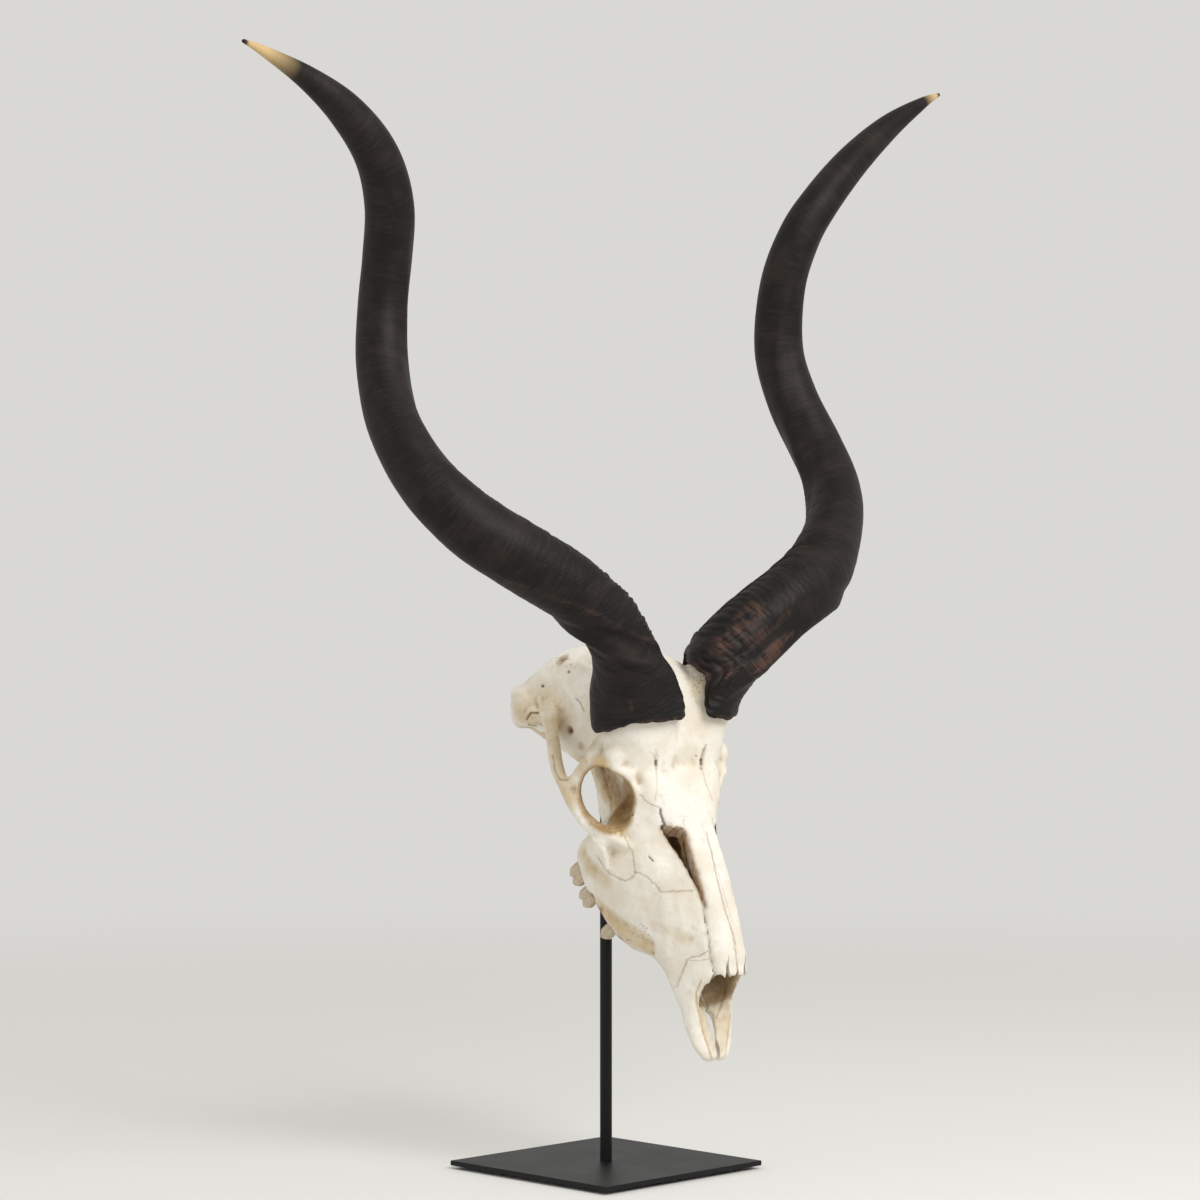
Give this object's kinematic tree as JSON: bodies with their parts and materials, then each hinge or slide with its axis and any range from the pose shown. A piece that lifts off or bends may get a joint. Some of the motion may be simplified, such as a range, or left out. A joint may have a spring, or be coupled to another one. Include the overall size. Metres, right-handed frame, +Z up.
{
  "type": "mounted antelope skull",
  "caption": "Weathered skull of a spiral-horned antelope, nose down on a slim steel rod that stands on a square plate.",
  "frame": {"origin": "middle of the underside of the rubber sheet under the plate, on the rod's axis", "axes": "+Z up along the rod, -Y towards the plate's front, +X to the skull's left; the plate's sides are along X and Y"},
  "size_m": [0.9013, 0.3232, 1.1173],
  "materials": {
    "steel": "satin black powder coat",
    "pad": "matte",
    "bone": null,
    "tooth": "worn enamel",
    "horn": null
  },
  "bodies": {
    "root": {"base_plate": "steel", "base_pad": "pad", "stand_rod": "steel", "skull": "bone", "nasal_bone_left": "bone", "nasal_bone_right": "bone", "premaxilla_left": "bone", "premaxilla_right": "bone", "horn_left": "horn", "horn_right": "horn", "tooth_p3_left": "tooth", "tooth_p4_left": "tooth", "tooth_m1_left": "tooth", "tooth_m2_left": "tooth", "tooth_m3_left": "tooth", "tooth_p4_right": "tooth", "tooth_m2_right": "tooth", "tooth_m3_right": "tooth"}
  },
  "joints": []
}
